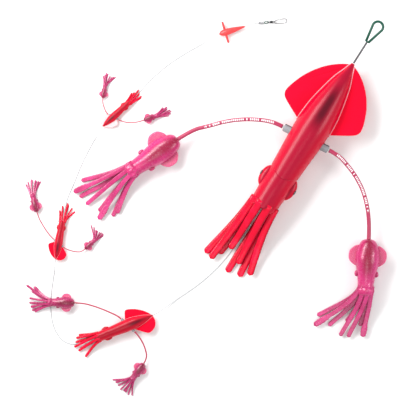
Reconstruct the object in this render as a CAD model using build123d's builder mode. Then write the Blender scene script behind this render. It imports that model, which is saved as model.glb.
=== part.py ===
"""Squid daisy chain: a lead squid and three smaller ones, each with two side squids on spreader arms.

Everything lies flat on the plane z = 0. A squid's own frame has its origin at its nose, x towards the tail,
y sideways and z up, and its sizes are those of the lead squid times its scale.
"""

import os
from math import cos, pi, radians, sin, tan

from build123d import *

os.makedirs("parts", exist_ok=True)

# --- Driving dimensions of a full-size squid (mm) ---
head_start = 190.0
crown = 248.0
mantle_wall = 2.5
body_profile = [(15, 7.5), (30, 13.5), (56, 20), (83, 25), (113, 27), (135, 26.3), (164, 24.5)]
nose_radius = 2.5
collar_radius = 23.0
head_front_radius = 21.5
head_middle_radius = 23.0
crown_radius = 22.5
axis_height = 27.2
fin_outline = [(5, 8), (12, 19), (23, 32), (38, 44.5), (56, 55), (74, 61.5)]
fin_tip = [(88, 64.5), (95.5, 60.5), (100.5, 50)]
fin_root = (114, 24)
fin_start = (3, 2)
fin_tip_turn = 0.25
fin_thickness = 3.2
eye_place = 208.0
eye_offset = 20.0
eye_radius = 10.0
sleeve_reach = 38.0
sleeve_half = 37.0
sleeve_radius = 6.0
tentacle_ring = 17.5
tentacle_width = 9.0
tentacle_tip_width = 8.0
tentacle_depths = (6.6, 3.6)
tentacle_levels = (2.4, 8.4)

# --- Driving dimensions of a full-size side squid (mm) ---
side_crown = 74.0
side_axis_height = 17.8
side_profile = [(1.5, 8.5), (6, 12.6), (15, 15.8), (34, 17.6), (47, 15.2), (60, 12.2), (68, 11.8)]
side_nose_radius = 5.0
side_crown_radius = 14.0
ear_place = 25.0
ear_offset = 13.0
ear_radius = 16.0
side_fin_thickness = 2.4
side_eye_place = 50.0
side_eye_offset = 14.0
side_eye_radius = 4.2
side_ring = 10.0
strap_width = 6.4
strap_tip_width = 5.8
strap_depths = (4.2, 2.4)
strap_levels = (1.6, 5.2)

# --- Arms, leader and end tackle (mm) ---
arm_radius = 3.1
arm_core_radius = 1.1
arm_gap = 2.0
arm_in_squid = 12.0
bore_depth = 13.2
arm_straight = 14.0
arm_nose_run = 24.0
least_arm_scale = 0.25
least_gap_scale = 0.4
bore_clearance = 0.25
socket_clearance = 0.6
socket_depth = 1.0
line_radius = 0.6
leader_radius = 1.1

# --- Tentacle tips: (reach behind the crown, sideways), in the squid's own frame and from -y to +y ---
lead_tips = [(108, -35), (111, -24), (98, -17), (83, -7), (115, 8), (96, 15), (111, 27), (101, 39)]
second_tips = [(79, -38), (94, -30), (104, -14), (116, 3), (98, 21), (105, 25), (80, 55), (87, 60)]
third_tips = [(82, -69), (102, -47), (116, -20), (128, -14), (95, 13), (105, 18), (66, 27), (72, 31)]
fourth_tips = [(92, -34), (104, -27), (98, -6), (108, 0), (108, 16), (120, 20), (84, 28), (67, 38)]
left_tips = [(75, -30), (94, -22), (91, -11), (89, 4), (79, 23), (86, 33), (66, 41), (58, 41)]
right_tips = [(46, -68), (61, -72), (60, -50), (74, -32), (52, -24), (75, -20), (57, -3), (73, 2)]
second_left_tips = [(79, -53), (55, -48), (62, -34), (69, -12), (69, 3), (64, 16), (60, 27), (51, 31)]
second_right_tips = [(57, -62), (57, -46), (62, -30), (70, -12), (66, 2), (66, 10), (68, 26), (60, 41)]
third_left_tips = [(58, -49), (62, -40), (68, -30), (70, -28), (74, -8), (77, -12), (70, 8), (62, 20)]
third_right_tips = [(62, -16), (70, -6), (66, 6), (60, 16), (56, 30), (53, 39), (56, 62), (51, 84)]
fourth_left_tips = [(72, -56), (70, -46), (68, -34), (72, -19), (84, -4), (87, 7), (74, 14), (66, 24)]
fourth_right_tips = [(66, -22), (80, -12), (87, -3), (84, 8), (68, 16), (72, 29), (52, 26), (49, 34)]

# --- Layout: nose position, heading of the tail in degrees, scale ---
lead_scale = 1.0
lead_nose = (220.5, 213.0)
lead_heading = -122.4
second_scale = 0.35
third_scale = 0.23
fourth_scale = 0.21
left_stretch = 1.08

# --- Places of the two ends of a cross sleeve, and how far each fin leans forward (+y side, then -y) ---
lead_sleeve_ends = (128.0, 135.0)
lead_fin_lean = (0.12, 0.0)

loft_steps = 6


def squid_plane(nose, heading, height):
    """The frame of a squid: origin at the nose, x towards the tail, z up."""
    direction = (cos(radians(heading)), sin(radians(heading)), 0)
    return Plane(origin=(nose[0], nose[1], height), x_dir=direction, z_dir=(0, 0, 1))


def spin_axis(plane):
    return Axis(plane.origin, plane.x_dir)


def cross_plane(plane, place):
    """The plane across a squid's axis at a distance from its nose, facing the tail."""
    origin = plane.from_local_coords(Vector(place, 0, 0))
    return Plane(origin=origin, x_dir=plane.y_dir, z_dir=plane.x_dir)


def scaled(points, scale):
    return [(x * scale, y * scale) for x, y in points]


def save(name, part):
    part.label = name
    export_step(part, f"parts/{name}.step")


def tentacle(plane, start, root, tip, rest_height, widths, depths, scale):
    """A tentacle: elliptical sections lofted along a cubic curve from the crown to the tip."""
    reach, sideways = tip
    root_y, root_z = root
    curve = [
        (start, root_y, root_z),
        (start + 0.38 * reach, root_y + 0.1 * (sideways - root_y), root_z * 0.55 + rest_height * 0.45),
        (start + 0.68 * reach, root_y + 0.62 * (sideways - root_y), rest_height),
        (start + reach, sideways, rest_height),
    ]
    points = [plane.from_local_coords(Vector(*[c * scale for c in point])) for point in curve]
    with BuildLine(mode=Mode.PRIVATE) as path:
        Bezier(*points)
    with BuildPart() as limb:
        for step in range(loft_steps):
            share = step / (loft_steps - 1)
            width = (widths[0] + (widths[1] - widths[0]) * share) * scale
            depth = (depths[0] + (depths[1] - depths[0]) * share**0.6) * scale
            forward = path.edge() % share
            across = Vector(0, 0, 1).cross(forward)
            section = Plane(origin=path.edge() @ share, x_dir=across, z_dir=forward)
            if step == 0:
                section = Plane(origin=section.origin, x_dir=plane.y_dir, z_dir=plane.x_dir)
            with BuildSketch(section):
                Ellipse(width / 2, depth / 2)
        loft()
    return limb.part


def tentacle_set(name, plane, place, height, tips, ring, widths, depths, levels, scale):
    """Eight tentacles in two layers, the even ones below and the odd ones above."""
    limbs = []
    for index, tip in enumerate(tips):
        angle = radians(157.5 - 45 * (index // 2))
        upper = index % 2
        root = (ring * cos(angle), ring * sin(angle) * (1 if upper else -1))
        rest = levels[upper] - height
        limbs.append(tentacle(plane, place, root, tip, rest, widths, depths, scale))
    save(name, Compound(label=name, children=limbs))


def body_of_revolution(plane, points, start, end, scale):
    """A closed solid of revolution through the points, with flat ends."""
    outline = scaled(points, scale)
    with BuildPart() as body:
        with BuildSketch(plane):
            with BuildLine():
                Spline(*outline)
                Polyline(outline[-1], (end * scale, 0), (start * scale, 0), outline[0])
            make_face()
        revolve(axis=spin_axis(plane))
    return body.part


def cylinder_along(plane, start, end, radius):
    """A round bar on a squid's axis between two places."""
    with BuildPart() as bar:
        with BuildSketch(cross_plane(plane, start)):
            Circle(radius)
        extrude(amount=end - start)
    return bar.part


def sleeve_plane(plane, ends, scale):
    """The plane at the middle of a squid's cross sleeve, facing the sleeve's +y end."""
    middle = plane.from_local_coords(Vector(sum(ends) / 2 * scale, 0, 0))
    across = plane.x_dir * (ends[0] - ends[1]) + plane.y_dir * 2 * sleeve_reach
    return Plane(origin=middle, x_dir=plane.z_dir, z_dir=across)


def sleeve_bar(plane, ends, radius, half, scale):
    """A round bar across a squid at its sleeve."""
    with BuildPart() as bar:
        with BuildSketch(sleeve_plane(plane, ends, scale)):
            Circle(radius)
        extrude(amount=half, both=True)
    return bar.part


def leaned(points, side, lean, scale):
    """A fin's outline on one side, each point moved towards the nose by lean times its distance out."""
    return [((x - lean * y) * scale, side * y * scale) for x, y in points]


def fin_pair(plane, body, leans, scale):
    """The two flat fins that stand out from the front of the mantle."""
    with BuildPart() as fins:
        for side, lean in zip((1, -1), leans):
            root = leaned([fin_root], side, lean, scale)[0]
            with BuildSketch(plane):
                with BuildLine():
                    front = Spline(*leaned([fin_start] + fin_outline, side, lean, scale))
                    tip = Spline(front @ 1, *leaned(fin_tip, side, lean, scale),
                                 tangents=[front % 1, (fin_tip_turn + lean, -side)])
                    rear = Line(tip @ 1, root)
                    Polyline(rear @ 1, (root[0], 0), (fin_start[0] * scale, 0), front @ 0)
                make_face()
            extrude(amount=fin_thickness * scale / 2, both=True)
        add(body, mode=Mode.SUBTRACT)
    return fins.part


def ball_pair(plane, place, offset, radius, body, scale):
    """Two eyes, one on each side, cut to the surface that they sit on."""
    balls = []
    for side in (1, -1):
        centre = plane.from_local_coords(Vector(place * scale, side * offset * scale, 0))
        with BuildPart() as ball:
            with BuildSketch(Plane(origin=centre, x_dir=plane.x_dir, z_dir=plane.z_dir)):
                Circle(radius * scale)
                Rectangle(3 * radius * scale, 2 * radius * scale, align=(Align.CENTER, Align.MAX),
                          mode=Mode.SUBTRACT)
            revolve(axis=Axis(centre, plane.x_dir))
            add(body, mode=Mode.SUBTRACT)
        balls.append(ball.part)
    return balls


def route_tube(points, radius, bore=0.0, report=""):
    """A tube along straight runs joined by arcs, each as large as its two runs allow."""
    places = [Vector(*point) for point in points]
    radii = []
    for before, corner, after in zip(places, places[1:], places[2:]):
        turn = radians((corner - before).get_angle(after - corner))
        run = min((corner - before).length, (after - corner).length)
        radii.append(0.45 * run / tan(turn / 2))
    if report:
        print(report, "radii", [round(r, 1) for r in radii])
    with BuildPart() as tube:
        with BuildLine() as path:
            FilletPolyline(*places, radius=radii)
        with BuildSketch(Plane(origin=path.wire() @ 0, z_dir=path.wire() % 0)):
            Circle(radius)
            if bore:
                Circle(bore, mode=Mode.SUBTRACT)
        sweep()
    if report:
        section_area = radius**2 * pi
        print(report, "length", round(path.wire().length, 1), "volume ratio",
              round(tube.part.volume / section_area / path.wire().length, 4))
    return tube.part


def squid_form(plane, scale):
    points = [(0, nose_radius)] + body_profile + [(head_start, collar_radius)]
    return body_of_revolution(plane, points, 0, head_start, scale)


def head_form(plane, scale):
    points = [(head_start, head_front_radius), ((head_start + crown) / 2, head_middle_radius),
              (crown, crown_radius)]
    return body_of_revolution(plane, points, head_start, crown, scale)


def side_form(plane, scale, stretch):
    """A side squid's solid: rounded body, flared crown and two round ear fins."""
    points = [(0, side_nose_radius)] + side_profile + [(side_crown, side_crown_radius)]
    with BuildPart() as body:
        add(body_of_revolution(plane, [(x * stretch, y) for x, y in points], 0, side_crown * stretch, scale))
        with BuildSketch(plane):
            for side in (1, -1):
                with Locations((ear_place * stretch * scale, side * ear_offset * scale)):
                    Circle(ear_radius * scale)
        extrude(amount=side_fin_thickness * scale / 2, both=True)
    return body.part


# --- Lead squid ---
lead = squid_plane(lead_nose, lead_heading, axis_height)
lead_form = squid_form(lead, lead_scale)
lead_head_form = head_form(lead, lead_scale)
lead_hole = cylinder_along(lead, -5, crown + 5, leader_radius + 0.2)
lead_sleeve_hole = sleeve_bar(lead, lead_sleeve_ends, sleeve_radius + 0.1, sleeve_half + 5, lead_scale)

inner_points = [(20, 6.5)] + [(x, y - mantle_wall) for x, y in body_profile[1:]]
inner_points += [(head_start - 6, collar_radius - mantle_wall - 0.6)]
cavity = body_of_revolution(lead, inner_points, 20, head_start - 6, 1.0)

with BuildPart() as mantle:
    add(lead_form)
    add(cavity, mode=Mode.SUBTRACT)
    add(lead_hole, mode=Mode.SUBTRACT)
    add(lead_sleeve_hole, mode=Mode.SUBTRACT)
save("lead_mantle", mantle.part)

core_points = [(x, y - 0.3) for x, y in inner_points]
core_form = body_of_revolution(lead, core_points, 20.4, head_start - 6.4, 1.0)
with BuildPart() as float_core:
    add(core_form)
    add(lead_hole, mode=Mode.SUBTRACT)
    add(lead_sleeve_hole, mode=Mode.SUBTRACT)
save("float_core", float_core.part)

save("lead_fins", fin_pair(lead, lead_form, lead_fin_lean, lead_scale))

with BuildPart() as head:
    add(lead_head_form)
    add(lead_hole, mode=Mode.SUBTRACT)
save("lead_head", head.part)

lead_balls = ball_pair(lead, eye_place, eye_offset, eye_radius, lead_head_form, lead_scale)
save("lead_eyes", Compound(label="lead_eyes", children=lead_balls))

lead_widths = (tentacle_width, tentacle_tip_width)
tentacle_set("lead_tentacles", lead, crown, axis_height, lead_tips, tentacle_ring,
             lead_widths, tentacle_depths, tentacle_levels, lead_scale)

with BuildPart() as sleeve:
    add(sleeve_bar(lead, lead_sleeve_ends, sleeve_radius, sleeve_half, lead_scale))
    add(lead_hole, mode=Mode.SUBTRACT)
    across = sleeve_plane(lead, lead_sleeve_ends, lead_scale)
    for side in (1, -1):
        mouth = across.origin + across.z_dir * side * sleeve_half
        with BuildSketch(Plane(origin=mouth, z_dir=across.z_dir * side)):
            Circle(arm_radius + socket_clearance)
        extrude(amount=-socket_depth, mode=Mode.SUBTRACT)
save("lead_sleeve", sleeve.part)


# --- Side squids and their arms ---
def side_squid(name, nose, heading, scale, tips, bore_radius, with_eyes, stretch=1.0):
    """A side squid with its tentacles; its nose takes the end of the arm."""
    height = side_axis_height
    plane = squid_plane(nose, heading, height * scale)
    form = side_form(plane, scale, stretch)
    bore = cylinder_along(plane, -1, bore_depth * scale, bore_radius)
    with BuildPart() as body:
        add(form)
        add(bore, mode=Mode.SUBTRACT)
    save(f"{name}_squid", body.part)
    if with_eyes:
        balls = ball_pair(plane, side_eye_place * stretch, side_eye_offset, side_eye_radius, form, scale)
        save(f"{name}_eyes", Compound(label=f"{name}_eyes", children=balls))
    tentacle_set(f"{name}_tentacles", plane, side_crown * stretch, height, tips, side_ring,
                 (strap_width, strap_tip_width), strap_depths, strap_levels, scale)
    return plane


def spreader_arm(name, across, side, route, squid, body_scale, side_scale, with_core):
    """An arm from just outside the sleeve, along its route and into the nose of a side squid."""
    out = across.z_dir * side
    start = across.origin + out * (sleeve_half * body_scale + arm_gap * max(body_scale, least_gap_scale))
    leave = start + out * arm_straight * body_scale
    before = squid.from_local_coords(Vector(-arm_nose_run * side_scale, 0, 0))
    end = squid.from_local_coords(Vector(arm_in_squid * side_scale, 0, 0))
    drop = leave.Z - before.Z
    points = [start, leave]
    for index, (x, y) in enumerate(route):
        share = (index + 1) / (len(route) + 1)
        points.append(Vector(x, y, leave.Z - drop * share))
    points += [before, end]
    radius = arm_radius * max(body_scale, least_arm_scale)
    if with_core:
        save(f"{name}_arm", route_tube(points, radius, arm_core_radius + 0.1, name))
        save(f"{name}_arm_core", route_tube(points, arm_core_radius))
    else:
        save(f"{name}_arm", route_tube(points, radius, 0.0, name))
    print(name, "pivot", tuple(round(c, 3) for c in start), "out", tuple(round(c, 5) for c in out),
          "spin", tuple(round(c, 3) for c in end), "axis", tuple(round(c, 4) for c in squid.x_dir))


bore = arm_radius + bore_clearance
left = side_squid("left", (-40.5, 101.3), -146.0, 1.0, left_tips, bore, True, left_stretch)
right = side_squid("right", (244.5, -48.0), -94.1, 1.0, right_tips, bore, True)
left_route = [(82, 130), (57, 130.8), (31, 127.8), (5, 120.5)]
right_route = [(208.5, 66.5), (224.5, 46.5), (238.5, 18.5)]
spreader_arm("left", across, -1, left_route, left, 1.0, 1.0, True)
spreader_arm("right", across, 1, right_route, right, 1.0, 1.0, True)

# --- Follower squids; for each side squid: side, nose, heading, scale, tips, route of its arm ---
followers = {
    "second": {
        "nose": (-78.3, -162.0), "heading": -158.3, "scale": second_scale, "tips": second_tips,
        "sleeve": (97.0, 132.0), "lean": (0.75, -0.15),
        "sides": [
            ("left", -1, (-195.3, -143.3), 179.0, 0.48, second_left_tips,
             [(-138, -159.5), (-152, -153.3), (-168, -147.6)]),
            ("right", 1, (-91.5, -234.5), -127.2, 0.37, second_right_tips,
             [(-95.5, -198.5), (-89.5, -211)]),
        ],
    },
    "third": {
        "nose": (-223.5, -78.5), "heading": 80.0, "scale": third_scale, "tips": third_tips,
        "sleeve": (128.0, 86.0), "lean": (0.0, 0.75),
        "sides": [
            ("left", 1, (-251.6, -7.5), 104.0, 0.33, third_left_tips,
             [(-235.5, -38.5), (-242.5, -28)]),
            ("right", -1, (-179.7, -63.0), 43.0, 0.25, third_right_tips,
             [(-201.5, -65.3), (-193, -67.2)]),
        ],
    },
    "fourth": {
        "nose": (-153.0, 120.6), "heading": 42.7, "scale": fourth_scale, "tips": fourth_tips,
        "sleeve": (88.0, 114.0), "lean": (0.55, 0.05),
        "sides": [
            ("left", 1, (-153.0, 163.1), 79.6, 0.24, fourth_left_tips,
             [(-150.2, 146.5)]),
            ("right", -1, (-91.5, 130.1), 18.9, 0.27, fourth_right_tips,
             [(-120, 127), (-108.8, 126)]),
        ],
    },
}

planes = {"lead": lead}
sleeve_solids = []
eye_solids = []
for name, unit in followers.items():
    size = unit["scale"]
    plane = squid_plane(unit["nose"], unit["heading"], axis_height * size)
    planes[name] = plane
    form = squid_form(plane, size)
    head_solid = head_form(plane, size)
    line_hole = cylinder_along(plane, -2, crown * size + 2, line_radius + 0.15)
    with BuildPart() as body:
        add(form)
        add(head_solid)
        add(fin_pair(plane, form, unit["lean"], size))
        add(line_hole, mode=Mode.SUBTRACT)
        add(sleeve_bar(plane, unit["sleeve"], sleeve_radius * size + 0.05, sleeve_half * size + 2, size),
            mode=Mode.SUBTRACT)
    save(f"{name}_squid", body.part)
    eye_solids += ball_pair(plane, eye_place, eye_offset, eye_radius, head_solid, size)
    with BuildPart() as cross_sleeve:
        add(sleeve_bar(plane, unit["sleeve"], sleeve_radius * size, sleeve_half * size, size))
        add(line_hole, mode=Mode.SUBTRACT)
    sleeve_solids.append(cross_sleeve.part)
    tentacle_set(f"{name}_tentacles", plane, crown, axis_height, unit["tips"], tentacle_ring,
                 lead_widths, tentacle_depths, tentacle_levels, size)
    arm_size = arm_radius * max(size, least_arm_scale)
    across = sleeve_plane(plane, unit["sleeve"], size)
    for hand, side, nose, heading, side_size, tips, route in unit["sides"]:
        squid = side_squid(f"{name}_{hand}", nose, heading, side_size, tips, arm_size + 0.12, False)
        spreader_arm(f"{name}_{hand}", across, side, route, squid, size, side_size, False)
save("follower_sleeves", Compound(label="follower_sleeves", children=sleeve_solids))
save("follower_eyes", Compound(label="follower_eyes", children=eye_solids))

# --- Leader inside the squids: one rod through each ---
rods = [cylinder_along(lead, 0.2, crown, leader_radius)]
for name, unit in followers.items():
    rods.append(cylinder_along(planes[name], 0, crown * unit["scale"], line_radius))
save("leader_core", Compound(label="leader_core", children=rods))

# --- Tow stem and loop, ahead of the lead squid ---
stem_gap = 1.2
stem_length = 36.5
stem_radius = 1.6
loop_radius = 1.45
loop_turn = -3.0
with BuildPart() as stem:
    with BuildSketch(cross_plane(lead, -stem_gap - stem_length)):
        Circle(stem_radius)
    extrude(amount=stem_length)
save("tow_stem", stem.part)
apex = lead.from_local_coords(Vector(-stem_gap - stem_length - 0.1, 0, 0))
loop_plane = squid_plane((apex.X, apex.Y), lead_heading + loop_turn, axis_height)
loop_centre = -28.2
loop_corner = 8.2
throat = 1.75
loop_route = [(-0.8, throat)]
loop_route += [(loop_centre + loop_corner * cos(radians(a)), loop_corner * sin(radians(a)))
               for a in range(90, 271, 30)]
loop_route += [(-0.8, -throat)]
loop_places = [tuple(loop_plane.from_local_coords(Vector(x, y, 0))) for x, y in loop_route]
with BuildPart() as tow_loop:
    add(route_tube(loop_places, loop_radius))
    with BuildSketch(cross_plane(loop_plane, -4.0)):
        SlotOverall(2 * (throat + loop_radius) + 0.6, 2 * loop_radius + 0.6)
    extrude(amount=3.5)
save("tow_loop", tow_loop.part)
print("tow pivot", tuple(lead.from_local_coords(Vector(-stem_gap, 0, 0))))

# --- Bird teaser on the leader ---
bird_height = 5.3
bird_plane = squid_plane((21.5, 258.9), 16.7, bird_height)
bird_length = 39.6
bird_points = [(0, 1.5), (2.5, 3.4), (6, 4.7), (10, 5.1), (15, 4.9), (22, 4.2), (30, 2.9), (bird_length, 1.2)]
with BuildPart() as bird_body:
    add(body_of_revolution(bird_plane, bird_points, 0, bird_length, 1.0))
    add(cylinder_along(bird_plane, -1, bird_length + 1, line_radius + 0.15), mode=Mode.SUBTRACT)
save("bird_body", bird_body.part)
wing_half = 16.7
wing_place = 9.4
wing_width = 3.4
with BuildPart() as wings:
    with BuildSketch(bird_plane):
        with Locations((wing_place, 0)):
            SlotOverall(2 * wing_half, wing_width, rotation=90)
    extrude(amount=0.6, both=True)
    add(body_of_revolution(bird_plane, bird_points, 0, bird_length, 1.0), mode=Mode.SUBTRACT)
save("bird_wings", wings.part)

# --- End tackle: crimp, thimble, swivel and snap ---
end_plane = squid_plane((80.4, 275.6), 5.0, 2.6)
crimp_length = 8.4
with BuildPart() as crimp:
    with BuildSketch(cross_plane(end_plane, 0)):
        SlotOverall(3.6, 2.2)
    extrude(amount=crimp_length)
    add(cylinder_along(end_plane, -1, crimp_length - 2, line_radius + 0.1), mode=Mode.SUBTRACT)
save("end_crimp", crimp.part)

thimble_start = crimp_length
with BuildPart() as thimble:
    with BuildSketch(end_plane):
        with Locations((thimble_start + 3.4, 0)):
            Ellipse(3.4, 2.3)
            Ellipse(2.3, 1.3, mode=Mode.SUBTRACT)
    extrude(amount=0.6, both=True)
save("end_thimble", thimble.part)

swivel_start = thimble_start + 4.9
swivel_ring = 1.5
barrel_length = 5.2
with BuildPart() as swivel:
    ring_centre = end_plane.from_local_coords(Vector(swivel_start + swivel_ring, 0, 0))
    upright = Plane(origin=ring_centre, x_dir=end_plane.x_dir, z_dir=end_plane.y_dir)
    with BuildSketch(upright):
        Circle(swivel_ring + 0.45)
        Circle(swivel_ring - 0.45, mode=Mode.SUBTRACT)
    extrude(amount=0.45, both=True)
    barrel_start = swivel_start + 2 * swivel_ring + 0.3
    add(body_of_revolution(end_plane, [(barrel_start, 1.0), (barrel_start + 0.9, 1.9),
                                       (barrel_start + barrel_length - 0.9, 1.9),
                                       (barrel_start + barrel_length, 0.9)],
                           barrel_start, barrel_start + barrel_length, 1.0))
save("swivel_barrel", swivel.part)

eye_start = barrel_start + barrel_length + 0.2
snap_length = 17.0
snap_half = 3.3
wire = 0.45
snap_eye = end_plane.from_local_coords(Vector(eye_start, 0, 0))
with BuildPart() as swivel_eye:
    add(cylinder_along(end_plane, eye_start, eye_start + 1.0, 0.8))
    ring_centre = end_plane.from_local_coords(Vector(eye_start + 2.0, 0, 0))
    with BuildSketch(Plane(origin=ring_centre, x_dir=end_plane.x_dir, z_dir=end_plane.y_dir)):
        Circle(1.5)
        Circle(0.75, mode=Mode.SUBTRACT)
    extrude(amount=0.4, both=True)
save("swivel_eye", swivel_eye.part)

snap_start = eye_start + 2.0
with BuildPart() as snap_frame:
    with BuildLine(end_plane) as snap_line:
        Polyline((snap_start + 14.2, -snap_half), (snap_start + 2.6, -snap_half))
        near = ThreePointArc((snap_start + 2.6, -snap_half), (snap_start, -0.6), (snap_start + 2.6, 1.7))
        Line(near @ 1, (snap_start + 6.5, snap_half - 0.6))
    with BuildSketch(Plane(origin=end_plane.from_local_coords(Vector(snap_start + 14.2, -snap_half, 0)),
                           z_dir=-end_plane.x_dir)):
        Circle(wire)
    sweep(path=Wire(snap_line.edges()))
save("snap_frame", snap_frame.part)

with BuildPart() as snap_gate:
    with BuildLine(end_plane) as gate_line:
        low = Line((snap_start + 14.7, -snap_half), (snap_start + 15.0, -snap_half))
        nose_arc = ThreePointArc(low @ 1, (snap_start + 18.0, 0), (snap_start + 15.0, snap_half))
        Line(nose_arc @ 1, (snap_start + 7.3, snap_half - 0.35))
    with BuildSketch(Plane(origin=end_plane.from_local_coords(Vector(snap_start + 14.7, -snap_half, 0)),
                           z_dir=end_plane.x_dir)):
        Circle(wire)
    sweep(path=Wire(gate_line.edges()))
save("snap_gate", snap_gate.part)
for label, place in (("swivel spin", (eye_start, 0)), ("gate pivot", (snap_start + 14.45, -snap_half)),
                     ("snap middle", (snap_start + 10, 0))):
    print(label, tuple(round(c, 2) for c in end_plane.from_local_coords(Vector(*place, 0))))
print("loop middle", tuple(round(c, 2) for c in loop_plane.from_local_coords(Vector(loop_centre, 0, 0))))
print("end axis", tuple(end_plane.x_dir))


# --- Mono lines between the squids ---
def squid_end(name, scale, offset, height=None):
    """A point on a squid's axis at a distance behind its crown."""
    point = planes[name].from_local_coords(Vector(crown * scale + offset, 0, 0))
    return (point.X, point.Y, point.Z if height is None else height)


def squid_nose(name, offset):
    point = planes[name].from_local_coords(Vector(-offset, 0, 0))
    return (point.X, point.Y, point.Z)


floor = line_radius + 0.1
lines = {
    "line_1": [
        squid_end("lead", 1.0, 0), squid_end("lead", 1.0, 15), squid_end("lead", 1.0, 34, 18),
        squid_end("lead", 1.0, 55, 4.5), (47.5, -55, floor), (33, -75.5, floor), (10.5, -99.5, floor),
        (-15, -120.5, floor), (-44, -139.5, floor), (-62, -152.8, 3.4), squid_nose("second", 6),
        squid_nose("second", 0),
    ],
    "line_2": [
        squid_end("second", second_scale, 0), squid_end("second", second_scale, 7),
        squid_end("second", second_scale, 18, 3.6), (-186, -203.4, floor), (-199, -206.8, floor),
        (-213, -201.5, floor), (-223.5, -188.3, floor), (-229.6, -171.5, floor), (-231.7, -152, floor),
        (-230.6, -128, floor), (-226.9, -104, floor), (-225.4, -90, 2.8), squid_nose("third", 4),
        squid_nose("third", 0),
    ],
    "line_3": [
        squid_end("third", third_scale, 0), squid_end("third", third_scale, 6),
        squid_end("third", third_scale, 15, 2.2), (-208.6, 4, floor), (-205.4, 16, floor),
        (-197.5, 33, floor), (-185.2, 64, floor), (-171, 92, floor), (-161, 110, 2.6),
        squid_nose("fourth", 4), squid_nose("fourth", 0),
    ],
    "line_4": [
        squid_end("fourth", fourth_scale, 0), squid_end("fourth", fourth_scale, 4.5),
        squid_end("fourth", fourth_scale, 10.5, 1.4), (-97.6, 173.2, floor), (-88, 183.8, floor),
        (-76, 196, floor), (-56, 213, floor), (-32, 228.8, floor), (-5, 244.2, 1.6),
        (12, 255.2, 4.2), (21.5, 258.9, bird_height),
    ],
    "line_5": [],
}
tail = bird_plane.from_local_coords(Vector(bird_length - 9, 0, 0))
tail_end = bird_plane.from_local_coords(Vector(bird_length + 3, 0, 0))
crimp_in = end_plane.from_local_coords(Vector(5.5, 0, 0))
crimp_out = end_plane.from_local_coords(Vector(-3, 0, 0))
lines["line_5"] = [tail, tail_end, (71, 274.6, 2.6), crimp_out, crimp_in]
for name, points in lines.items():
    print(name, [tuple(round(c, 2) for c in point) for point in points])
    save(name, route_tube(points, line_radius, 0.0, name))
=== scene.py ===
from math import asin, atan2, cos, exp, pi, radians, sin, sqrt

import bpy
from mathutils import Matrix, Vector


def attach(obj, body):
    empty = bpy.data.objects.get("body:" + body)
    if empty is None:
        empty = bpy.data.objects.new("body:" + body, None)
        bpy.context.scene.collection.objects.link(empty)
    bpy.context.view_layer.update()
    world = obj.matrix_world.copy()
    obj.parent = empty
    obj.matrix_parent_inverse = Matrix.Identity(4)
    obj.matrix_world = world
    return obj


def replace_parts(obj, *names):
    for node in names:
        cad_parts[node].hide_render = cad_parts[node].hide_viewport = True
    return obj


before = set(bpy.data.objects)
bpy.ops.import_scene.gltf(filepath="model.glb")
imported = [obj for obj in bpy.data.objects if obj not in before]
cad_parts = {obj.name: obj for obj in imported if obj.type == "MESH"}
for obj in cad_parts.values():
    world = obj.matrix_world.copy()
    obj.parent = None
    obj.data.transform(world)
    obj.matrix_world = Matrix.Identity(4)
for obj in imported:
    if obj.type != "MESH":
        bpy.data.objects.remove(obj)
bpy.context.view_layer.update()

MM = 0.001

# --- Camera: straight above, so that image up is +Y ---
camera_height = 3.2
view_width = 0.624
view_centre = (0.0045, -0.0015)
camera_data = bpy.data.cameras.new("camera")
camera_data.sensor_width = 36.0
camera_data.lens = camera_data.sensor_width * camera_height / view_width
camera = bpy.data.objects.new("camera", camera_data)
camera.location = (*view_centre, camera_height)
bpy.context.scene.collection.objects.link(camera)
bpy.context.scene.camera = camera

# --- Sizes of a full-size squid (mm), repeated from the design ---
CROWN = 248.0
AXIS_HEIGHT = 27.2
BODY = [(0, 2.5), (15, 7.5), (30, 13.5), (56, 20), (83, 25), (113, 27), (135, 26.3), (164, 24.5), (190, 23)]
HEAD = [(176, 20.5), (190, 22.3), (205, 22.6), (220, 22.6), (235, 21.8), (248, 21.2), (251, 20.6)]
FIN_OUTLINE = [(3, 2), (5, 8), (12, 19), (23, 32), (38, 44.5), (56, 55), (74, 61.5), (84, 64), (90, 63.8),
               (95.5, 60.5), (100, 53), (114, 24)]
EYE_PLACE = 208.0
PUPIL_REACH, PUPIL_SIZE, PUPIL_PLACE = 28.6, 4.8, 209
SLEEVE_REACH = 38.0
SLEEVE_HALF = 37.0
SLEEVE_RADIUS = 6.0
RING = 17.5

# --- Sizes of a full-size side squid (mm) ---
SIDE_CROWN = 74.0
SIDE_AXIS_HEIGHT = 17.8
SIDE_BODY = [(0, 4.2), (1.5, 8.5), (6, 12.4), (15, 15.7), (25, 17.3), (34, 17.4), (47, 15.3), (56, 13.6),
             (64, 12.4), (70, 12.1), (72, 12.4)]
SIDE_HEAD = [(66, 11.0), (70, 11.3), (73, 12.2), (76, 13.0), (79, 12.8), (82, 11.5), (84, 9.0)]
STRETCH = {"left": 1.08}
EAR_PLACE, EAR_OFFSET, EAR_RADIUS = 25.0, 13.0, 15.8
SIDE_RING = 10.0

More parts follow.
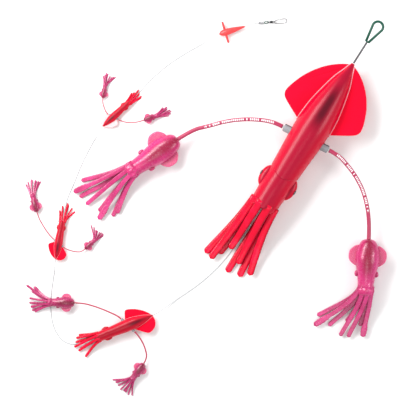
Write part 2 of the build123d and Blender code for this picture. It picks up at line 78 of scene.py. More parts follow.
# --- Tentacle tips: (reach behind the crown, sideways), from -y to +y, and the ones that end in a club ---
TIPS = {
    "lead": [(108, -35), (111, -24), (98, -17), (83, -7), (115, 8), (96, 15), (111, 27), (101, 39)],
    "second": [(79, -38), (94, -30), (104, -14), (116, 3), (98, 21), (105, 25), (80, 55), (87, 60)],
    "third": [(82, -69), (102, -47), (116, -20), (128, -14), (95, 13), (105, 18), (66, 27), (72, 31)],
    "fourth": [(92, -34), (104, -27), (98, -6), (108, 0), (108, 16), (120, 20), (84, 28), (67, 38)],
    "left": [(75, -30), (94, -22), (91, -11), (89, 4), (79, 23), (86, 33), (66, 41), (58, 41)],
    "right": [(46, -68), (61, -72), (60, -50), (74, -32), (52, -24), (75, -20), (57, -3), (73, 2)],
    "second_left": [(79, -53), (55, -48), (62, -34), (69, -12), (69, 3), (64, 16), (60, 27), (51, 31)],
    "second_right": [(57, -62), (57, -46), (62, -30), (70, -12), (66, 2), (66, 10), (68, 26), (60, 41)],
    "third_left": [(58, -49), (62, -40), (68, -30), (70, -28), (74, -8), (77, -12), (70, 8), (62, 20)],
    "third_right": [(62, -16), (70, -6), (66, 6), (60, 16), (56, 30), (53, 39), (56, 62), (51, 84)],
    "fourth_left": [(72, -56), (70, -46), (68, -34), (72, -19), (84, -4), (87, 7), (74, 14), (66, 24)],
    "fourth_right": [(66, -22), (80, -12), (87, -3), (84, 8), (68, 16), (72, 29), (52, 26), (49, 34)],
}
CLUBS = {"left": (1, 5), "right": (1, 7)}

# --- Layout: nose (mm), heading of the tail in degrees, scale ---
MAINS = {
    "lead": ((220.5, 213.0), -122.4, 1.0),
    "second": ((-78.3, -162.0), -158.3, 0.35),
    "third": ((-223.5, -78.5), 80.0, 0.23),
    "fourth": ((-153.0, 120.6), 42.7, 0.21),
}
SLEEVE_ENDS = {"lead": (128, 135), "second": (97, 132), "third": (128, 86), "fourth": (88, 114)}
FIN_LEAN = {"lead": (0.12, 0.0), "second": (0.75, -0.15), "third": (0.0, 0.75), "fourth": (0.55, 0.05)}
SIDES = {
    "left": ((-40.5, 101.3), -146.0, 1.0),
    "right": ((244.5, -48.0), -94.1, 1.0),
    "second_left": ((-195.3, -143.3), 179.0, 0.48),
    "second_right": ((-91.5, -234.5), -127.2, 0.37),
    "third_left": ((-251.6, -7.5), 104.0, 0.33),
    "third_right": ((-179.7, -63.0), 43.0, 0.25),
    "fourth_left": ((-153.0, 163.1), 79.6, 0.24),
    "fourth_right": ((-91.5, 130.1), 18.9, 0.27),
}
ARM_ROUTES = {
    "left": ("lead", -1, [(82, 130), (57, 130.8), (31, 127.8), (5, 120.5)]),
    "right": ("lead", 1, [(208.5, 66.5), (224.5, 46.5), (238.5, 18.5)]),
    "second_left": ("second", -1, [(-138, -159.5), (-152, -153.3), (-168, -147.6)]),
    "second_right": ("second", 1, [(-95.5, -198.5), (-89.5, -211)]),
    "third_left": ("third", 1, [(-235.5, -38.5), (-242.5, -28)]),
    "third_right": ("third", -1, [(-201.5, -65.3), (-193, -67.2)]),
    "fourth_left": ("fourth", 1, [(-150.2, 146.5)]),
    "fourth_right": ("fourth", -1, [(-120, 127), (-108.8, 126)]),
}


def placing(nose, heading, height, scale):
    """A function that takes a squid's own coordinates in full-size mm to the frame, in metres."""
    along = Vector((cos(radians(heading)), sin(radians(heading)), 0))
    across = Vector((-along.y, along.x, 0))
    origin = Vector((nose[0], nose[1], height * scale))

    def place(x, y, z):
        return (origin + (along * x + across * y + Vector((0, 0, z))) * scale) * MM

    return place


def profile(points, x):
    """The radius at x of a smooth outline through the points."""
    if x <= points[0][0]:
        return points[0][1]
    for i in range(len(points) - 1):
        x0, y0 = points[i]
        x1, y1 = points[i + 1]
        if x <= x1:
            before = points[i - 1] if i else (2 * x0 - x1, 2 * y0 - y1)
            after = points[i + 2] if i + 2 < len(points) else (2 * x1 - x0, 2 * y1 - y0)
            span = x1 - x0
            slope0 = (y1 - before[1]) / (x1 - before[0]) * span
            slope1 = (after[1] - y0) / (after[0] - x0) * span
            t = (x - x0) / span
            return ((2 * t**3 - 3 * t**2 + 1) * y0 + (t**3 - 2 * t**2 + t) * slope0
                    + (3 * t**2 - 2 * t**3) * y1 + (t**3 - t**2) * slope1)
    return points[-1][1]


# --- Materials ---
class Nodes:
    """A material's node tree, with short calls for the nodes that are used here."""

    def __init__(self, name, color, roughness, **sockets):
        self.material = bpy.data.materials.new(name)
        self.material.use_nodes = True
        self.tree = self.material.node_tree
        self.shader = self.tree.nodes["Principled BSDF"]
        self.shader.inputs["Base Color"].default_value = (*color, 1)
        self.shader.inputs["Roughness"].default_value = roughness
        for socket, value in sockets.items():
            self.shader.inputs[socket.replace("_", " ")].default_value = value

    def add(self, kind, inputs=(), **settings):
        made = self.tree.nodes.new(kind)
        for name, value in settings.items():
            setattr(made, name, value)
        for name, value in dict(inputs).items():
            if isinstance(value, bpy.types.NodeSocket):
                self.tree.links.new(value, made.inputs[name])
            else:
                made.inputs[name].default_value = value
        return made

    def math(self, operation, a, b=0.0, c=0.0):
        return self.add("ShaderNodeMath", {0: a, 1: b, 2: c}, operation=operation).outputs[0]

    def mix(self, factor, a, b):
        made = self.add("ShaderNodeMix", data_type="RGBA")
        for index, value in ((0, factor), (6, a), (7, b)):
            if isinstance(value, bpy.types.NodeSocket):
                self.tree.links.new(value, made.inputs[index])
            else:
                made.inputs[index].default_value = value if index == 0 else (*value, 1)
        return made.outputs[2]

    def smooth(self, value, low, high):
        made = self.add("ShaderNodeMapRange", {"Value": value, "From Min": low, "From Max": high},
                        interpolation_type="SMOOTHSTEP")
        return made.outputs["Result"]

    def position(self):
        return self.add("ShaderNodeTexCoord").outputs["Object"]

    def uv(self):
        split = self.add("ShaderNodeSeparateXYZ", {0: self.add("ShaderNodeUVMap").outputs[0]})
        return split.outputs[0], split.outputs[1]

    def noise(self, scale, detail=3.0):
        return self.add("ShaderNodeTexNoise", {"Vector": self.position(), "Scale": scale,
                                               "Detail": detail}).outputs["Fac"]

    def link(self, output, socket):
        self.tree.links.new(output, self.shader.inputs[socket])

    def bump(self, height, strength, distance):
        made = self.add("ShaderNodeBump", {"Height": height, "Strength": strength, "Distance": distance})
        self.link(made.outputs[0], "Normal")


def vinyl(name, deep, bright, painted_back_shade, roughness, grain):
    """Glossy soft vinyl with faint mottling, and painted shade: a deep colour over the back, brighter sides,
    and a dark maroon patch down the back.
    """
    made = Nodes(name, bright, roughness, Coat_Weight=0.1, Coat_Roughness=0.15, Specular_IOR_Level=0.2)
    u, v = made.uv()
    from_back = made.math("ABSOLUTE", made.math("SUBTRACT", v, 0.5))
    # mottled is the distance from the back with a little noise; it masks the painted shade below
    mottled = made.math("ADD", from_back, made.math("MULTIPLY", made.noise(grain), 0.025))
    # painted shade: deep colour over the back, bright colour on the sides
    color = made.mix(made.smooth(mottled, 0.04, 0.16), deep, bright)
    rise = made.smooth(u, 0.12, 0.27)
    fall = made.math("SUBTRACT", 1.0, made.smooth(u, 0.36, 0.50))
    # painted shade: a darker patch down the middle of the back over the front half of the length
    patch = made.math("MULTIPLY", rise, fall)
    narrow = made.math("SUBTRACT", 1.0, made.smooth(mottled, 0.02, 0.085))
    made.link(made.mix(made.math("MULTIPLY", patch, narrow), color, painted_back_shade), "Base Color")
    made.link(made.math("MULTIPLY_ADD", made.noise(grain * 3), 0.12, roughness - 0.06), "Roughness")
    made.bump(made.noise(grain * 12, 4), 0.12, 0.0004)
    return made.material


def seam_pink():
    """Pale raised welt between body and fin."""
    made = Nodes("seam_pink", (1.0, 0.35, 0.42), 0.35, Coat_Weight=0.2)
    made.link(made.mix(made.noise(220), (0.95, 0.14, 0.20), (1.0, 0.50, 0.55)), "Base Color")
    made.bump(made.noise(1200), 0.15, 0.0002)
    return made.material


def red_tentacle():
    """Bright glossy vinyl, with painted shade darkening it along each edge."""
    made = Nodes("tentacle_red", (0.74, 0.001, 0.03), 0.3, Coat_Weight=0.12, Specular_IOR_Level=0.2)
    v = made.uv()[1]
    # painted shade: darker colour along both side edges of each tentacle
    painted_edge_shade = made.math("ABSOLUTE", made.math("SINE", made.math("MULTIPLY", v, 2 * pi)))
    shade = made.smooth(painted_edge_shade, 0.55, 1.0)
    color = made.mix(shade, (0.72, 0.001, 0.028), (0.32, 0.001, 0.012))
    made.link(made.mix(made.smooth(made.noise(60), 0.45, 0.75), color, (0.86, 0.006, 0.05)), "Base Color")
    made.link(made.math("MULTIPLY_ADD", made.noise(180), 0.14, 0.18), "Roughness")
    made.bump(made.noise(700, 4), 0.15, 0.0004)
    return made.material


def fin_red():
    """Flat matte vinyl sheet with a faint leathery grain and a painted highlight: a paler colour along the
    rounded rim.
    """
    made = Nodes("fin_red", (1.0, 0.002, 0.02), 0.7, Specular_IOR_Level=0.08)
    u = made.uv()[0]
    # painted highlight: paler, pinker colour along the rim
    inner = made.smooth(u, 0.0, 0.7)
    mottled = made.mix(made.noise(45), (0.80, 0.001, 0.02), (0.88, 0.001, 0.03))
    made.link(made.mix(inner, (0.92, 0.03, 0.06), mottled), "Base Color")
    made.bump(made.noise(900, 5), 0.12, 0.0003)
    return made.material


def fin_pale():
    """Thin milky fin with a red edge."""
    made = Nodes("fin_pale", (0.93, 0.80, 0.80), 0.35, Coat_Weight=0.2, Subsurface_Weight=0.2,
                 Subsurface_Radius=(0.002, 0.001, 0.001), Subsurface_Scale=1.0)
    u = made.uv()[0]
    milky = made.mix(made.noise(300), (0.90, 0.62, 0.63), (0.82, 0.46, 0.48))
    made.link(made.mix(made.smooth(u, 0.7, 1.0), (0.70, 0.01, 0.04), milky), "Base Color")
    made.bump(made.noise(1500), 0.1, 0.0002)
    return made.material


def glitter(name, deep, bright, painted_back_shade, size, shade_back_not_edges=True):
    """Pink vinyl with fine glitter and a bump pattern of tiny scales; painted shade darkens the back near the
    nose on bodies, and both edges on straps.
    """
    made = Nodes(name, bright, 0.3, Coat_Weight=0.2, Coat_Roughness=0.1, Subsurface_Weight=0.06,
                 Subsurface_Radius=(0.004, 0.001, 0.0015), Subsurface_Scale=1.0)
    u, v = made.uv()
    from_back = made.math("ABSOLUTE", made.math("SUBTRACT", v, 0.5))
    color = made.mix(made.smooth(made.noise(42 / size, 3), 0.2, 0.8), deep, bright)
    if shade_back_not_edges:
        # painted shade: the back is darker near the nose
        back = made.math("SUBTRACT", 1.0, made.smooth(from_back, 0.02, 0.13))
        front = made.math("SUBTRACT", 1.0, made.smooth(u, 0.5, 0.95))
        color = made.mix(made.math("MULTIPLY", back, front), color, painted_back_shade)
    else:
        # painted shade: each strap is darker along both edges
        wave = made.math("SINE", made.math("MULTIPLY", v, 2 * pi))
        edge = made.smooth(made.math("ABSOLUTE", wave), 0.3, 1.0)
        color = made.mix(edge, color, deep)
    specks = made.add("ShaderNodeTexVoronoi", {"Vector": made.position(), "Scale": 620 / size})
    spark = made.math("LESS_THAN", specks.outputs["Distance"], 0.26)
    parted = made.add("ShaderNodeSeparateColor", {0: specks.outputs["Color"]})
    chosen = made.math("GREATER_THAN", parted.outputs[0], 0.62)
    flake = made.math("MULTIPLY", spark, chosen)
    made.link(made.mix(made.math("MULTIPLY", flake, 0.4), color, (0.95, 0.50, 0.70)), "Base Color")
    made.link(made.math("MULTIPLY", flake, 0.7), "Metallic")
    made.link(made.math("MULTIPLY_ADD", made.noise(240 / size), 0.16, 0.2), "Roughness")
    scales = made.add("ShaderNodeTexVoronoi", {"Vector": made.position(), "Scale": 900 / size})
    made.bump(scales.outputs["Distance"], 0.22, 0.0004 * size)
    return made.material


def ear_pink():
    """Thin ear fin with fine rays and a paler rim."""
    made = Nodes("ear_pink", (0.8, 0.12, 0.36), 0.35, Coat_Weight=0.3, Subsurface_Weight=0.15,
                 Subsurface_Radius=(0.003, 0.001, 0.001), Subsurface_Scale=1.0)
    u, v = made.uv()
    rays = made.math("SINE", made.math("MULTIPLY", v, 210))
    color = made.mix(made.smooth(rays, -1.0, 1.0), (0.56, 0.05, 0.15), (0.68, 0.09, 0.22))
    specks = made.add("ShaderNodeTexVoronoi", {"Vector": made.position(), "Scale": 700})
    flake = made.math("LESS_THAN", specks.outputs["Distance"], 0.2)
    color = made.mix(made.math("MULTIPLY", flake, 0.4), color, (1.0, 0.6, 0.8))
    made.link(made.mix(made.smooth(u, 0.0, 0.5), (0.78, 0.16, 0.32), color), "Base Color")
    made.bump(rays, 0.25, 0.0003)
    return made.material


def printed_arm():
    """Rose tube with a row of plain white printed bars."""
    made = Nodes("arm_rose", (0.52, 0.03, 0.10), 0.38, Coat_Weight=0.15)
    u, v = made.uv()
    cell = made.math("MULTIPLY", u, 62.0)
    bar = made.math("LESS_THAN", made.math("FRACT", cell), 0.62)
    chance = made.add("ShaderNodeTexWhiteNoise", {"W": made.math("FLOOR", cell)}, noise_dimensions="1D")
    pick = chance.outputs["Value"]
    height = made.math("MULTIPLY_ADD", pick, 0.04, 0.055)
    near_top = made.math("LESS_THAN", made.math("ABSOLUTE", made.math("SUBTRACT", v, 0.5)), height)
    stretch = made.math("MULTIPLY", made.math("GREATER_THAN", u, 0.06), made.math("LESS_THAN", u, 0.68))
    kept = made.math("GREATER_THAN", pick, 0.16)
    mark = made.math("MULTIPLY", made.math("MULTIPLY", bar, near_top), made.math("MULTIPLY", stretch, kept))
    tube = made.mix(made.noise(120), (0.36, 0.015, 0.07), (0.46, 0.03, 0.10))
    made.link(made.mix(mark, tube, (0.95, 0.90, 0.92)), "Base Color")
    made.bump(made.math("MULTIPLY_ADD", mark, 0.6, made.noise(1200)), 0.2, 0.0002)
    return made.material


def plain_rose():
    made = Nodes("arm_plain", (0.42, 0.02, 0.06), 0.4, Coat_Weight=0.1)
    made.link(made.mix(made.noise(400), (0.36, 0.015, 0.05), (0.52, 0.04, 0.10)), "Base Color")
    made.bump(made.noise(2500), 0.2, 0.0001)
    return made.material


def brushed(name, dark, light, metallic, roughness, grain, **sockets):
    """Metal or plastic with fine uneven brushing."""
    made = Nodes(name, light, roughness, Metallic=metallic, **sockets)
    stretched = made.add("ShaderNodeMapping", {"Vector": made.position(), "Scale": (1.0, 1.0, 0.12)})
    grainy = made.add("ShaderNodeTexNoise", {"Vector": stretched.outputs[0], "Scale": grain, "Detail": 5.0})
    made.link(made.mix(grainy.outputs["Fac"], dark, light), "Base Color")
    made.link(made.math("MULTIPLY_ADD", grainy.outputs["Fac"], 0.25, roughness - 0.12), "Roughness")
    made.bump(grainy.outputs["Fac"], 0.2, 0.0002)
    return made.material


def sleeve_grey():
    """Pale grey sleeve with painted shade: a dark blue-grey band on the face towards the nose."""
    made = Nodes("sleeve_grey", (0.4, 0.41, 0.42), 0.4)
    v = made.uv()[1]
    # painted shade: a dark band round the face of the sleeve that looks towards the nose
    beyond = made.math("SUBTRACT", 1.0, made.smooth(v, 0.58, 0.62))
    painted_front_shade = made.math("MULTIPLY", made.smooth(v, 0.36, 0.40), beyond)
    grain = made.mix(made.noise(500, 5), (0.20, 0.21, 0.23), (0.34, 0.35, 0.37))
    made.link(made.mix(painted_front_shade, grain, (0.03, 0.04, 0.055)), "Base Color")
    made.bump(made.noise(900, 5), 0.25, 0.0003)
    return made.material


def pupil_black():
    made = Nodes("pupil_black", (0.006, 0.005, 0.006), 0.08, Coat_Weight=1.0, Coat_Roughness=0.03)
    made.link(made.mix(made.noise(900), (0.003, 0.003, 0.004), (0.02, 0.012, 0.015)), "Base Color")
    return made.material


def clear_line():
    made = Nodes("mono_clear", (0.3, 0.3, 0.31), 0.35)
    made.link(made.mix(made.noise(500), (0.40, 0.41, 0.42), (0.52, 0.53, 0.54)), "Base Color")
    return made.material


def foam():
    made = Nodes("foam", (0.9, 0.88, 0.84), 0.9)
    cells = made.add("ShaderNodeTexVoronoi", {"Vector": made.position(), "Scale": 700.0})
    made.link(made.mix(cells.outputs["Distance"], (0.84, 0.82, 0.78), (0.95, 0.94, 0.91)), "Base Color")
    made.bump(cells.outputs["Distance"], 0.4, 0.0005)
    return made.material


# vinyl skins: the deep colour and the third colour are painted shade on the back
LEAD_SKIN = vinyl("lead_skin", (0.36, 0.001, 0.024), (0.60, 0.0, 0.026), (0.10, 0.001, 0.010), 0.3, 14)
SMALL_SKIN = vinyl("small_skin", (0.34, 0.001, 0.014), (0.64, 0.001, 0.025), (0.12, 0.001, 0.01), 0.3, 60)
TENTACLE_RED = red_tentacle()
FIN_RED = fin_red()
FIN_PALE = fin_pale()
SEAM_PINK = seam_pink()
# glitter skins: the third colour is painted shade on the back; straps also use the deep colour as painted
# shade on their edges
GLITTER = glitter("glitter_pink", (0.50, 0.015, 0.12), (0.64, 0.03, 0.20), (0.28, 0.003, 0.04), 1.0)
GLITTER_STRAP = glitter("glitter_strap", (0.42, 0.014, 0.11), (0.66, 0.04, 0.22), (0.24, 0.006, 0.06), 1.0,
                        False)
GLITTER_SMALL = glitter("glitter_small", (0.32, 0.008, 0.08), (0.48, 0.02, 0.14), (0.18, 0.004, 0.03), 0.45)
STRAP_SMALL = glitter("strap_small", (0.34, 0.010, 0.09), (0.54, 0.03, 0.17), (0.2, 0.005, 0.05), 0.45,
                      False)
EAR_PINK = ear_pink()
ARM_PRINTED = printed_arm()
ARM_PLAIN = plain_rose()
SLEEVE_GREY = sleeve_grey()
PUPIL = pupil_black()
MONO = clear_line()
STEEL = brushed("tow_steel", (0.06, 0.06, 0.065), (0.20, 0.20, 0.21), 0.6, 0.38, 900)
GREEN = brushed("loop_green", (0.0, 0.05, 0.03), (0.001, 0.10, 0.06), 0.0, 0.4, 400)
CORAL = brushed("bird_coral", (0.70, 0.03, 0.035), (0.86, 0.07, 0.07), 0.0, 0.35, 300, Coat_Weight=0.2)
CRIMP = brushed("crimp_grey", (0.22, 0.22, 0.23), (0.42, 0.42, 0.43), 0.8, 0.4, 1500)
BLACK = brushed("black_nickel", (0.012, 0.012, 0.014), (0.06, 0.06, 0.065), 0.7, 0.3, 1500)
CHROME = brushed("snap_chrome", (0.08, 0.08, 0.085), (0.22, 0.22, 0.23), 0.9, 0.25, 2000)
FOAM = foam()
WHITE_RING = brushed("white_ring", (0.75, 0.75, 0.75), (0.9, 0.9, 0.9), 0.0, 0.4, 900)


# --- Meshes ---
def make_piece(name, verts, faces, uvs, material, body, smooth=True):
    mesh = bpy.data.meshes.new(name)
    mesh.from_pydata([tuple(v) for v in verts], [], faces)
    layer = mesh.uv_layers.new(name="UVMap")
    flat = [c for face in uvs for corner in face for c in corner]
    layer.data.foreach_set("uv", flat)
    mesh.materials.append(material)
    mesh.polygons.foreach_set("use_smooth", [smooth] * len(mesh.polygons))
    mesh.validate()
    mesh.update()
    piece = bpy.data.objects.new(name, mesh)
    bpy.context.scene.collection.objects.link(piece)
    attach(piece, body)
    return piece


class Surface:
    """Vertices, faces and UVs that several skins add to before they become one piece."""

    def __init__(self):
        self.verts, self.faces, self.uvs = [], [], []

    def skin(self, rings, along=None, caps=True):
        """Quads between closed rings of points, with u along the rings and v round them."""
        base = len(self.verts)
        count = len(rings[0])
        if along is None:
            along = [i / (len(rings) - 1) for i in range(len(rings))]
        for ring in rings:
            self.verts += ring
        for i in range(len(rings) - 1):
            for j in range(count):
                k = (j + 1) % count
                self.faces.append((base + i * count + j, base + i * count + k,
                                   base + (i + 1) * count + k, base + (i + 1) * count + j))
                self.uvs.append([(along[i], j / count), (along[i], (j + 1) / count),
                                 (along[i + 1], (j + 1) / count), (along[i + 1], j / count)])
        if caps:
            for i, order in ((0, -1), (len(rings) - 1, 1)):
                ring = rings[i]
                centre = sum(ring, Vector()) / count
                self.verts.append(centre)
                tip = len(self.verts) - 1
                for j in range(count):
                    k = (j + 1) % count
                    pair = (base + i * count + j, base + i * count + k)
                    corner = [(along[i], (j + share) / count) for share in (0, 1, 0.5)]
                    if order < 0:
                        pair = pair[::-1]
                        corner = [corner[1], corner[0], corner[2]]
                    self.faces.append((*pair, tip))
                    self.uvs.append(corner)

    def piece(self, name, material, body, slot, *replaced):
        made = make_piece(name, self.verts, self.faces, self.uvs, material, body)
        if replaced:
            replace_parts(made, *replaced)
        return made


def around(place, x, radius, count, shape=None):
    """A ring across a squid's axis, from its underside round over its back, so that v = 0.5 is the back."""
    ring = []
    for j in range(count):
        angle = 2 * pi * j / count - pi / 2
        y, z = cos(angle), sin(angle)
        wide, tall = shape(x, angle) if shape else (1.0, 1.0)
        ring.append(place(x, radius * y * wide, radius * z * tall))
    return ring


def spaced(start, end, count, ease=1.0):
    return [start + (end - start) * (i / (count - 1)) ** ease for i in range(count)]


def revolved(surface, place, outline, start, end, count, rows, ease=1.0, shape=None, length=CROWN):
    places = spaced(start, end, rows, ease)
    rings = [around(place, x, profile(outline, x), count, shape) for x in places]
    surface.skin(rings, [x / length for x in places])


def plate(surface, outline, thickness, edge, place, steps=4):
    """A flat plate with a rounded rim: the outline in own coordinates, in order, z = 0 at mid thickness."""
    count = len(outline)
    inward = []
    area = sum(outline[i][0] * outline[(i + 1) % count][1] - outline[(i + 1) % count][0] * outline[i][1]
               for i in range(count))
    turn = 1 if area > 0 else -1
    for i in range(count):
        x0, y0 = outline[i - 1]
        x1, y1 = outline[(i + 1) % count]
        length = max(sqrt((x1 - x0) ** 2 + (y1 - y0) ** 2), 1e-6)
        inward.append((-(y1 - y0) / length * turn, (x1 - x0) / length * turn))
    rings, shares = [], []
    for i in range(2 * steps + 1):
        angle = pi / 2 - pi * i / (2 * steps)
        inset = edge * (1 - cos(angle))
        height = thickness / 2 * sin(angle)
        pairs = zip(outline, inward)
        rings.append([place(x + nx * inset, y + ny * inset, height) for (x, y), (nx, ny) in pairs])
        shares.append(1 - cos(angle))
    if turn < 0:
        rings = [ring[::-1] for ring in rings]
    base = len(surface.verts)
    surface.skin(rings[::-1], shares[::-1], caps=False)
    top = [base + 2 * steps * count + j for j in range(count)]
    bottom = [base + j for j in range(count)][::-1]
    surface.faces += [top, bottom]
    surface.uvs += [[(1.0, j / count) for j in range(count)], [(1.0, j / count) for j in range(count)]]


def bezier(points, t):
    a, b, c, d = points
    s = 1 - t
    return a * s**3 + b * 3 * s * s * t + c * 3 * s * t * t + d * t**3


def bezier_slope(points, t):
    a, b, c, d = points
    s = 1 - t
    return ((b - a) * s * s + (c - b) * 2 * s * t + (d - c) * t * t).normalized()


def rounded_section(power, count):
    """Points of a rounded box of half sizes 1, from the underside round over the top."""
    points = []
    for j in range(count):
        angle = 2 * pi * j / count - pi / 2
        y, z = cos(angle), sin(angle)
        points.append((abs(y) ** power * (1 if y > 0 else -1), abs(z) ** power * (1 if z > 0 else -1)))
    return points


def limb(surface, place, start, root, tip, rest, sizes, power, rows, count, club, blunt):
    """One tentacle along the design's cubic curve, with its root sunk in the head and its end rounded."""
    reach, sideways = tip
    root_y, root_z = root
    curve = [
        place(start, root_y, root_z),
        place(start + 0.38 * reach, root_y + 0.1 * (sideways - root_y), root_z * 0.55 + rest * 0.45),
        place(start + 0.68 * reach, root_y + 0.62 * (sideways - root_y), rest),
        place(start + reach, sideways, rest),
    ]
    section = rounded_section(power, count)
    scale = (place(1, 0, 0) - place(0, 0, 0)).length
    (width0, width1), (depth0, depth1) = sizes
    rings, shares = [], []
    for i in range(rows):
        t = i / (rows - 1)
        width = width0 + (width1 - width0) * t
        depth = depth0 + (depth1 - depth0) * t**0.6
        if club and t > 0.72:
            swell = sin(pi * min((t - 0.72) / 0.28, 1.0)) ** 0.7
            knobs = 0.10 * sin((t - 0.72) * 150)
            width *= 1 + (0.42 + knobs) * swell
            depth *= 1 + 0.25 * swell
        left = (1 - t) * reach
        if left < blunt:
            squeeze = sqrt(max(1 - (1 - left / blunt) ** 2, 0.0))
            width *= max(squeeze, 0.12)
            depth *= max(squeeze, 0.2)
        forward = bezier_slope(curve, t)
        across = Vector((0, 0, 1)).cross(forward).normalized()
        up = forward.cross(across)
        middle = bezier(curve, t)
        if i == 0:
            middle = middle - forward * 4 * scale
        rings.append([middle + (across * (y * width / 2) + up * (z * depth / 2)) * scale for y, z in section])
        shares.append(t)
    surface.skin(rings, shares)


def tentacles(name, place, start, height, tips, ring, sizes, levels, power, body, material, slot, rows, count,
              clubs=(), blunt=4.0, splay=1.0):
    surface = Surface()
    for index, tip in enumerate(tips):
        angle = radians(157.5 - 45 * (index // 2))
        upper = index % 2
        root = (ring * splay * cos(angle), ring * sin(angle) * (1 if upper else -1))
        limb(surface, place, start, root, tip, levels[upper] - height, sizes, power, rows, count,
             index in clubs, blunt)
    return surface.piece(f"{name}_tentacle_skin", material, body, slot, f"{name}_tentacles")


def smooth_line(points, order=3):
    """A NURBS curve object on the points, in metres."""
    data = bpy.data.curves.new("line", "CURVE")
    data.dimensions = "3D"
    spline = data.splines.new("NURBS")
    spline.points.add(len(points) - 1)
    for point, at in zip(spline.points, points):
        point.co = (*at, 1)
    spline.order_u = order
    spline.use_endpoint_u = True
    data.resolution_u = 12
    return data


def line_points(points):
    """Points along the NURBS curve on the given points."""
    data = smooth_line(points)
    helper = bpy.data.objects.new("helper", data)
    mesh = bpy.data.meshes.new_from_object(helper)
    found = [v.co.copy() for v in mesh.vertices]
    bpy.data.objects.remove(helper)
    bpy.data.meshes.remove(mesh)
    bpy.data.curves.remove(data)
    return found


def tube(surface, path, radius, count, caps=True):
    """A round tube along points; radius is a number or a function of the share of the length."""
    lengths = [0.0]
    for a, b in zip(path, path[1:]):
        lengths.append(lengths[-1] + (b - a).length)
    rings, shares = [], []
    for i, point in enumerate(path):
        forward = (path[min(i + 1, len(path) - 1)] - path[max(i - 1, 0)]).normalized()
        side = Vector((0, 0, 1)).cross(forward)
        side = side.normalized() if side.length > 1e-3 else Vector((1, 0, 0))
        up = forward.cross(side)
        share = lengths[i] / lengths[-1]
        size = radius(share) if callable(radius) else radius
        ring = []
        for j in range(count):
            angle = 2 * pi * j / count - pi / 2
            ring.append(point + (side * cos(angle) + up * sin(angle)) * size)
        rings.append(ring)
        shares.append(share)
    surface.skin(rings, shares, caps)


# --- Main squids ---
def pointed(place, x, radius, count):
    """A ring of the mantle; towards the rim it runs out to a point over the back and under the belly."""
    point = 11.0 * max(0.0, (x - 120) / 70) ** 2
    ring = []
    for j in range(count):
        angle = 2 * pi * j / count - pi / 2
        ring.append(place(x + point * abs(sin(angle)) ** 2.5, radius * cos(angle), radius * sin(angle)))
    return ring


def scalloped(place, x, radius, count):
    """A ring of the head; towards the crown its edge runs out into tongues between the tentacles."""
    reach = 3.2 * max(0.0, (x - 236) / 16) ** 2
    ring = []
    for j in range(count):
        angle = 2 * pi * j / count - pi / 2
        tongue = reach * cos(8 * (angle - pi / 2))
        ring.append(place(x + tongue, radius * cos(angle), radius * sin(angle)))
    return ring


def rounded_rim(points, passes=3):
    """More points along an open outline, with its corners eased."""
    rim = []
    for (x0, y0), (x1, y1) in zip(points, points[1:]):
        rim += [(x0 + (x1 - x0) * k / 4, y0 + (y1 - y0) * k / 4) for k in range(4)]
    rim.append(points[-1])
    for _ in range(passes):
        threes = zip(rim, rim[1:], rim[2:])
        inner = [((a[0] + 2 * b[0] + c[0]) / 4, (a[1] + 2 * b[1] + c[1]) / 4) for a, b, c in threes]
        rim = [rim[0], *inner, rim[-1]]
    return rim


def fins(name, place, material, seam_material):
    """Two flat fins, and a raised seam along the line where each one meets the body."""
    surface, seam = Surface(), Surface()
    for side, lean in zip((1, -1), FIN_LEAN[name]):
        rim = [(x - lean * y, y) for x, y in rounded_rim(FIN_OUTLINE)]
        last = rim[-1][0]
        rim += [(x, max(profile(BODY, x) - 4, 0.8)) for x in spaced(last - 2, 4, 16)]
        plate(surface, [(x, side * y) for x, y in rim], 3.2, 1.6, place)
        path = [place(x, side * (profile(BODY, x) + 0.5), 2.0) for x in spaced(4, last + 1, 40)]
        tube(seam, path, lambda share: (0.95 - 0.35 * share) * seam_size(place), 8)
    seam.piece(f"{name}_fin_seams", seam_material, "root", "fin_sheet")
    return surface.piece(f"{name}_fin_sheet", material, "root", "fin_sheet")


def seam_size(place):
    """One full-size mm of a squid, in metres."""
    return (place(1, 0, 0) - place(0, 0, 0)).length


